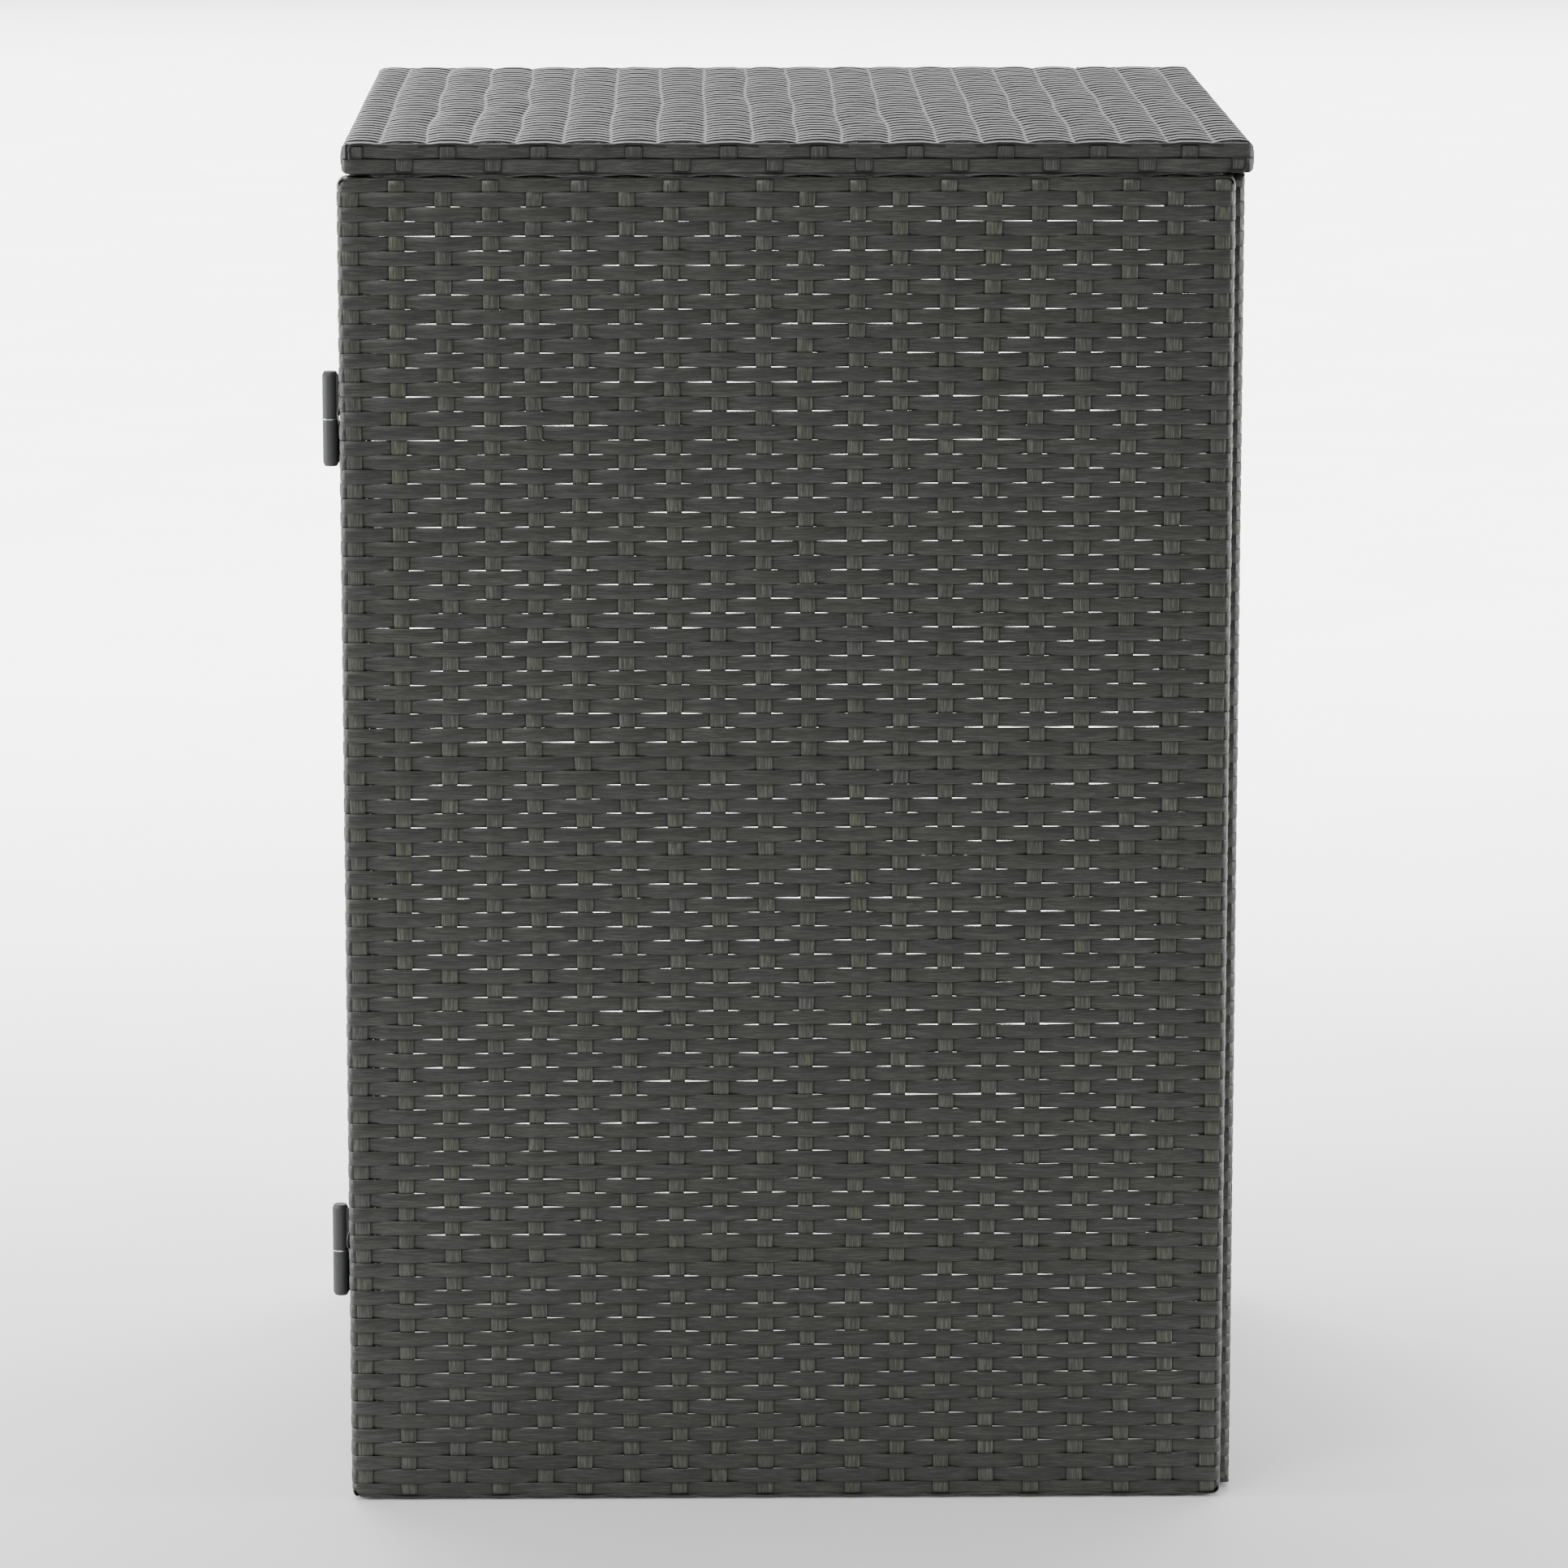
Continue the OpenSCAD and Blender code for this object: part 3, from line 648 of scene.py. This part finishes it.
    def lip_row(self, out, end, columns, k, lip_rows):
        """One strip along a back lip, between the wrapped strips of the corners."""
        p = self.p
        width = (self.lip - self.depth) / lip_rows
        middle = self.depth + (k + 0.5) * width
        middle = middle if end == 0 else p.h - middle
        sign = self.row_sign(end, self.rim_rows + k)
        across, height = profile(width / 2 - LIP_SPACE, self.thick)
        for low, high in self.spans(end, self.lip + LIP_START, p.w - self.lip - LIP_START):
            u = self.row_steps(low, high, columns)
            lift = self.weft_height(u, columns, sign)
            out_h = lift[:, None] + height
            v = np.broadcast_to(middle - across, out_h.shape)
            n = -p.t + self.depth - out_h
            grid = p.place(np.broadcast_to(u[:, None], out_h.shape), v, n)
            out.add(grid, across, u, self.crossing_gap(u, columns, sign))


# Materials

# Painted crease shade: full this near a covering strip, gone this far from it.
CREASE_SHADE_DARK = 0.6 * MM
CREASE_SHADE_CLEAR = 2.6 * MM
# Painted edge shade, for the shadowed gaps between strips: none up to this far from a strip's middle,
# full at this far.
EDGE_SHADE_CLEAR = 4.9 * MM
EDGE_SHADE_DARK = 5.8 * MM
DULL_SPREAD = 0.18
NOISE_SPAN = (0.3, 0.7)

# Features a metre along the strip, across it and from strip to strip, then detail and roughness
GRAIN = ((55.0, 950.0, 310.0), 4.0, 0.68)
THREADS = ((26.0, 520.0, 170.0), 3.0, 0.6)
CLOUD = ((9.0, 60.0, 90.0), 3.0, 0.55)
TINT = ((1.2, 3.0, 57.0), 2.0, 0.55)


def add_node(tree, kind, **values):
    """A new node with these inputs and settings."""
    node = tree.nodes.new(kind)
    for key, value in values.items():
        if key in node.inputs:
            node.inputs[key].default_value = value
        else:
            setattr(node, key, value)
    return node


def node_material(name):
    """A new node material, its node tree and its shader."""
    material = bpy.data.materials.new(name)
    material.use_nodes = True
    tree = material.node_tree
    return material, tree, tree.nodes["Principled BSDF"]


def ramp(tree, source, stops):
    """The colours of (place, colour) stops, by source."""
    node = add_node(tree, "ShaderNodeValToRGB")
    elements = node.color_ramp.elements
    while len(elements) < len(stops):
        elements.new(0.5)
    for element, (place, colour) in zip(elements, stops):
        element.position = place
        element.color = (*colour, 1.0)
    tree.links.new(source, node.inputs[0])
    return node.outputs[0]


def grey(level):
    """An even grey."""
    return (level, level, level)


def remap(tree, source, span, result, eased=False):
    """source, stretched so that span comes out as result."""
    node = add_node(tree, "ShaderNodeMapRange")
    if eased:
        node.interpolation_type = "SMOOTHSTEP"
    node.inputs["From Min"].default_value, node.inputs["From Max"].default_value = span
    node.inputs["To Min"].default_value, node.inputs["To Max"].default_value = result
    tree.links.new(source, node.inputs["Value"])
    return node.outputs[0]


def join(tree, operation, *sources):
    """The sum, product or other result of these numbers or sockets."""
    node = add_node(tree, "ShaderNodeMath", operation=operation)
    for source, target in zip(sources, node.inputs):
        if isinstance(source, float):
            target.default_value = source
        else:
            tree.links.new(source, target)
    return node.outputs[0]


def multiply(tree, colour, by):
    """A colour times a socket or an RGB value."""
    node = add_node(tree, "ShaderNodeMix", data_type="RGBA", blend_type="MULTIPLY")
    node.inputs["Factor"].default_value = 1.0
    tree.links.new(colour, node.inputs[6])
    if isinstance(by, tuple):
        node.inputs[7].default_value = (*by, 1.0)
    else:
        tree.links.new(by, node.inputs[7])
    return node.outputs[2]


def strip_noise(tree, parts, recipe):
    """A noise in strip coordinates."""
    rates, detail, rough = recipe
    space = add_node(tree, "ShaderNodeCombineXYZ")
    for i, rate in enumerate(rates):
        tree.links.new(join(tree, "MULTIPLY", parts.outputs[i], rate), space.inputs[i])
    noise = add_node(tree, "ShaderNodeTexNoise", Scale=1.0, Detail=detail, Roughness=rough)
    tree.links.new(space.outputs[0], noise.inputs["Vector"])
    return noise.outputs["Fac"]


def strip_colour(tree, parts, grain, tones, warm):
    """The strip's own colour: grain, a slow tint from strip to strip and cloudy shading."""
    base = ramp(tree, grain, list(zip((0.34, 0.5, 0.68), tones)))
    tint = strip_noise(tree, parts, TINT)
    warmth = ramp(tree, tint, [(0.42, grey(0.0)), (0.68, grey(1.0))])
    tinted = add_node(tree, "ShaderNodeMix", data_type="RGBA")
    tree.links.new(warmth, tinted.inputs["Factor"])
    tree.links.new(base, tinted.inputs[6])
    tree.links.new(multiply(tree, base, warm), tinted.inputs[7])
    cloud = strip_noise(tree, parts, CLOUD)
    shade = ramp(tree, cloud, [(NOISE_SPAN[0], grey(0.8)), (NOISE_SPAN[1], grey(1.2))])
    return multiply(tree, tinted.outputs[2], shade)


def painted_strip_shade(tree, parts, crease_shade_low, edge_shade_low):
    """Painted shade: how dark a strip is painted beside the strips that cover it and along its own
    edges, where shade falls in the creases and gaps.
    """
    cover = add_node(tree, "ShaderNodeAttribute", attribute_name="cover")
    # Painted shade beside the strips that cover this one.
    crease_shade = remap(
        tree, cover.outputs["Fac"], (CREASE_SHADE_DARK, CREASE_SHADE_CLEAR), (crease_shade_low, 1.0), eased=True
    )
    aside = join(tree, "ABSOLUTE", parts.outputs["Y"])
    # Painted shade along the strip's own edges.
    edge = remap(tree, aside, (EDGE_SHADE_CLEAR, EDGE_SHADE_DARK), (1.0, edge_shade_low))
    return join(tree, "MULTIPLY", crease_shade, edge)


def strip_material(name, tones, warm, crease_shade_low, edge_shade_low=1.0, dull_low=0.3):
    """Extruded polymer strip, grained lengthwise with pale scuffed threads.

    tones are its dark, middle and light colours and warm the slow tint over them.
    The crease and edge lows are how dark the painted shade gets in its creases, beside the strips over
    it, and along its own edges, in the gaps between strips.
    """
    material, tree, shader = node_material(name)
    strand = add_node(tree, "ShaderNodeAttribute", attribute_name="strand")
    parts = add_node(tree, "ShaderNodeSeparateXYZ")
    tree.links.new(strand.outputs["Vector"], parts.inputs[0])
    grain = strip_noise(tree, parts, GRAIN)
    threads = strip_noise(tree, parts, THREADS)

    colour = strip_colour(tree, parts, grain, tones, warm)
    # Painted shade in the creases and along the edges, multiplied into the base colour.
    shade = painted_strip_shade(tree, parts, crease_shade_low, edge_shade_low)
    tree.links.new(multiply(tree, colour, shade), shader.inputs["Base Color"])
    dull = remap(tree, threads, NOISE_SPAN, (dull_low, dull_low + DULL_SPREAD))
    tree.links.new(dull, shader.inputs["Roughness"])

    bump = add_node(tree, "ShaderNodeBump", Strength=0.6, Distance=0.3 * MM)
    tree.links.new(join(tree, "ADD", grain, threads), bump.inputs["Height"])
    tree.links.new(bump.outputs[0], shader.inputs["Normal"])
    shader.inputs["Specular IOR Level"].default_value = 0.5
    return material


def coated_material(name, colour, speckle, rough, metallic=0.0, bump_size=0.08, scale=900.0):
    """Powder coat, plating or moulded polymer: an even colour with fine speckle and texture."""
    material, tree, shader = node_material(name)
    place = add_node(tree, "ShaderNodeTexCoord").outputs["Object"]
    fine = add_node(tree, "ShaderNodeTexNoise", Scale=scale, Detail=2.0, Roughness=0.6)
    broad = add_node(tree, "ShaderNodeTexNoise", Scale=14.0, Detail=4.0, Roughness=0.6)
    for noise in (fine, broad):
        tree.links.new(place, noise.inputs["Vector"])
    fine, broad = fine.outputs["Fac"], broad.outputs["Fac"]

    darker, lighter = [tuple(c * (1 + change) for c in colour) for change in (-speckle, speckle)]
    tone = ramp(tree, broad, [(NOISE_SPAN[0], darker), (NOISE_SPAN[1], lighter)])
    dots = ramp(tree, fine, [(0.35, grey(0.82)), (0.65, grey(1.15))])
    tree.links.new(multiply(tree, tone, dots), shader.inputs["Base Color"])
    dull = remap(tree, broad, NOISE_SPAN, (rough - 0.08, rough + 0.08))
    tree.links.new(dull, shader.inputs["Roughness"])

    bump = add_node(tree, "ShaderNodeBump", Strength=0.5, Distance=bump_size * MM)
    tree.links.new(fine, bump.inputs["Height"])
    tree.links.new(bump.outputs[0], shader.inputs["Normal"])
    shader.inputs["Metallic"].default_value = metallic
    return material


COATED = {
    # slot: name, colour, speckle, roughness, metallic, bump in mm, speckles a metre
    "dark_steel": coated_material("powder_coat", (0.036, 0.037, 0.038), 0.12, 0.52),
    "zinc_steel": coated_material("zinc_plate", (0.52, 0.53, 0.54), 0.15, 0.34, 1.0, 0.03, 500.0),
    "black_plastic": coated_material("moulded_plastic", (0.018, 0.018, 0.019), 0.15, 0.55),
    "rubber": coated_material("buffer_rubber", (0.012, 0.012, 0.012), 0.2, 0.72),
    "magnet": coated_material("sintered_magnet", (0.12, 0.125, 0.13), 0.25, 0.5, 0.6, 0.05, 400.0),
}
# Strip tones. The lengthwise strips are painted lighter than the crosswise ones: partly their own olive
# colour, partly a painted sheen for the side lamps caught along their grain. The upright panels'
# crosswise strip is painted about a fifth darker than the lid's, painted shade for the dimmer light on
# the upright faces.
WEFT = strip_material(
    "weft_strip",
    ((0.0090, 0.0092, 0.0080), (0.0186, 0.0190, 0.0163), (0.0450, 0.0456, 0.0390)),
    (1.03, 1.05, 0.93),
    crease_shade_low=0.15,
)
WARP = strip_material(
    "warp_strip",
    ((0.0156, 0.0162, 0.0130), (0.0345, 0.0358, 0.0280), (0.0880, 0.0910, 0.0710)),
    (1.03, 1.05, 0.90),
    crease_shade_low=0.5,
)
# The lid's strips also take painted shade along their edges, for the shadowed gaps between their rows.
LID_WEFT = strip_material(
    "lid_weft_strip",
    ((0.0090, 0.0092, 0.0080), (0.0220, 0.0224, 0.0195), (0.0560, 0.0565, 0.0490)),
    (1.03, 1.05, 0.90),
    crease_shade_low=0.10,
    edge_shade_low=0.08,
    dull_low=0.32,
)
LID_WARP = strip_material(
    "lid_warp_strip",
    ((0.0120, 0.0124, 0.0106), (0.0260, 0.0266, 0.0230), (0.0640, 0.0650, 0.0560)),
    (1.03, 1.05, 0.90),
    crease_shade_low=0.2,
    edge_shade_low=0.5,
    dull_low=0.42,
)


# Pieces

def hinge_gaps():
    """Where hinge leaves take the place of strips, for each woven panel."""
    gaps = {"door": [], "left_side": [], "right_side": [], "lid": []}
    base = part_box("left_side_weave")[0][2]
    for level in ("upper", "lower"):
        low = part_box(level + "_hinge_pin_half")[0][2]
        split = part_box(level + "_hinge_washer")[0][2]
        gaps["left_side"].append(Gap(low - base - PIN_LEAF_SPARE, split - base, "near", "rim"))
        low, high = [corner[2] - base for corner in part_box(level + "_hinge_socket_half")]
        gaps["door"].append(Gap(low - LEAF_SPARE, high + LEAF_SPARE, "near", "lip"))
    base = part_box("lid_weave")[0][0]
    for side in ("left", "right"):
        low, high = [corner[0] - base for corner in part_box(side + "_lid_hinge_lid_leaf")]
        gaps["lid"].append(Gap(low - LEAF_SPARE, high + LEAF_SPARE, "far", "end"))
    return gaps


def hinge_bulges():
    """The heights where the strip down the door's hinge side bows out beside a barrel."""
    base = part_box("door_weave")[0][2]
    splits = [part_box(level + "_hinge_washer")[0][2] for level in ("upper", "lower")]
    return [split - base + BULGE_ABOVE for split in splits]


def weave_panels():
    """Makes each woven skin from its strips."""
    gaps = hinge_gaps()
    upright, flat = (UPRIGHT, WEFT, WARP), (FLAT, LID_WEFT, LID_WARP)
    panels = [
        # name, body, the axes along the weft, along the warp and outward, finish, seed
        ("door", "door", (1, 0, 0), (0, 0, 1), (0, -1, 0), upright, 11),
        ("left_side", "carcass", (0, 1, 0), (0, 0, 1), (-1, 0, 0), upright, 23),
        ("right_side", "carcass", (0, 1, 0), (0, 0, 1), (1, 0, 0), upright, 37),
        ("lid", "lid", (1, 0, 0), (0, 1, 0), (0, 0, 1), flat, 53),
    ]
    for name, body, u_axis, v_axis, n_axis, (style, weft_look, warp_look), seed in panels:
        panel = Panel(name + "_weave", (u_axis, v_axis, n_axis), seed)
        bulges = hinge_bulges() if name == "door" else []
        weave = make_weave(name, panel, gaps[name], bulges, style)
        weft, warp = Strips(panel), Strips(panel)
        weave.weft(weft)
        weave.rims(weft)
        weave.warp(warp)
        weave.rim_warps(warp)
        for strips, label, look in ((weft, "weft", weft_look), (warp, "warp", warp_look)):
            piece = strips.build(f"{name}_{label}_strips", look)
            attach(piece, body)
            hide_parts(name + "_weave")


def make_weave(name, panel, gaps, bulges, style):
    """The weave of a panel, as thick as the room between its skin and its frame."""
    low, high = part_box(name + "_frame")
    tube = float(abs(np.dot(np.array(high) - np.array(low), panel.axes[2])))
    return Weave(panel, (panel.t - tube) / 2, tube, gaps, bulges, style)


def finish_cad_nodes():
    """Gives every CAD node that is still shown its finish."""
    slots = {part["node"]: part["material_slot"] for part in frame["record"]["subparts"]}
    for name, node in frame["nodes"].items():
        material = COATED.get(slots[name])
        if material is not None:
            node.data.materials.clear()
            node.data.materials.append(material)


# Studio

FLOOR_HALF = 60.0
SKY_LIGHT = 0.6
BACKDROP_LIGHT = 2.6
LAMPS = [
    # name, place, aim, width, depth, power, spread in degrees
    ("backdrop_lamp", (0.0, 9.5, 6.0), (0.0, 9.5, 0.0), 16.0, 16.0, 5200.0, 70.0),
    ("key_lamp", (-2.6, -3.8, 3.6), (0.0, -0.4, 0.6), 2.4, 2.4, 80.0, 140.0),
    ("left_lamp", (-3.4, -0.7, 1.3), (0.0, -0.2, 0.6), 0.9, 2.4, 55.0, 140.0),
    ("right_lamp", (3.4, -0.7, 1.3), (0.0, -0.2, 0.6), 0.9, 2.4, 45.0, 140.0),
    ("rear_lamp", (-2.0, 4.2, 3.2), (0.0, 0.3, 0.6), 2.4, 2.4, 60.0, 140.0),
]


def turn_to(where, aim):
    """The rotation that points a camera or lamp from where to aim."""
    return (Vector(aim) - Vector(where)).to_track_quat("-Z", "Y").to_euler()


def floor_material():
    """Pale, matte and very slightly uneven."""
    material, tree, shader = node_material("studio_floor")
    place = add_node(tree, "ShaderNodeTexCoord")
    noise = add_node(tree, "ShaderNodeTexNoise", Scale=3.0, Detail=3.0)
    tree.links.new(place.outputs["Object"], noise.inputs["Vector"])
    tone = ramp(tree, noise.outputs["Fac"], [(NOISE_SPAN[0], grey(0.86)), (NOISE_SPAN[1], grey(0.9))])
    tree.links.new(tone, shader.inputs["Base Color"])
    shader.inputs["Roughness"].default_value = 0.9
    shader.inputs["Specular IOR Level"].default_value = 0.1
    return material


def studio():
    """A wide pale floor, a white sky and soft lamps."""
    half = FLOOR_HALF
    corners = [(-half, -half, 0), (half, -half, 0), (half, half, 0), (-half, half, 0)]
    mesh = bpy.data.meshes.new("studio_floor")
    mesh.from_pydata(corners, [], [(0, 1, 2, 3)])
    mesh.materials.append(floor_material())
    floor = bpy.data.objects.new("studio_floor", mesh)
    bpy.context.scene.collection.objects.link(floor)

    studio_sky()
    for name, where, aim, width, depth, power, spread in LAMPS:
        light = bpy.data.lights.new(name, "AREA")
        light.shape = "RECTANGLE"
        light.size, light.size_y = width, depth
        light.energy = power
        light.spread = math.radians(spread)
        lamp = bpy.data.objects.new(name, light)
        lamp.location = where
        lamp.rotation_euler = turn_to(where, aim)
        bpy.context.scene.collection.objects.link(lamp)


def studio_sky():
    """A soft sky, bright low down behind the box and darker on the camera's side."""
    world = bpy.data.worlds.new("studio_sky")
    world.use_nodes = True
    tree = world.node_tree
    place = add_node(tree, "ShaderNodeTexCoord")
    parts = add_node(tree, "ShaderNodeSeparateXYZ")
    tree.links.new(place.outputs["Generated"], parts.inputs[0])
    behind = remap(tree, parts.outputs["Y"], (-0.2, 0.75), (0.0, 1.0), eased=True)
    low_down = remap(tree, parts.outputs["Z"], (0.15, 0.5), (BACKDROP_LIGHT, 0.0), eased=True)
    sky = tree.nodes["Background"]
    glow = join(tree, "MULTIPLY_ADD", behind, low_down, SKY_LIGHT)
    tree.links.new(glow, sky.inputs["Strength"])
    sky.inputs["Color"].default_value = (1.0, 1.0, 1.0, 1.0)
    bpy.context.scene.world = world


CAMERA_DISTANCE = 5.87
CAMERA_ABOVE_LID = 0.564
CAMERA_LEFT = 0.102
CAMERA_YAW = math.radians(0.88)
CAMERA_PITCH = math.radians(10.8)
CAMERA_LENS = 158.2


def camera():
    """A long lens at the door, a little above the lid and a touch left of its middle."""
    low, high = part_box("lid_weave")
    middle_x = (low[0] + high[0]) / 2
    where = Vector((middle_x - CAMERA_LEFT, low[1] - CAMERA_DISTANCE, high[2] + CAMERA_ABOVE_LID))
    ahead = Vector((math.sin(CAMERA_YAW), math.cos(CAMERA_YAW), -math.tan(CAMERA_PITCH)))
    data = bpy.data.cameras.new("product_camera")
    data.sensor_width = 36.0
    data.lens = CAMERA_LENS
    data.clip_end = 200.0
    cam = bpy.data.objects.new("product_camera", data)
    cam.location = where
    cam.rotation_euler = turn_to(where, where + ahead)
    bpy.context.scene.collection.objects.link(cam)
    bpy.context.scene.camera = cam


camera()
weave_panels()
finish_cad_nodes()
studio()
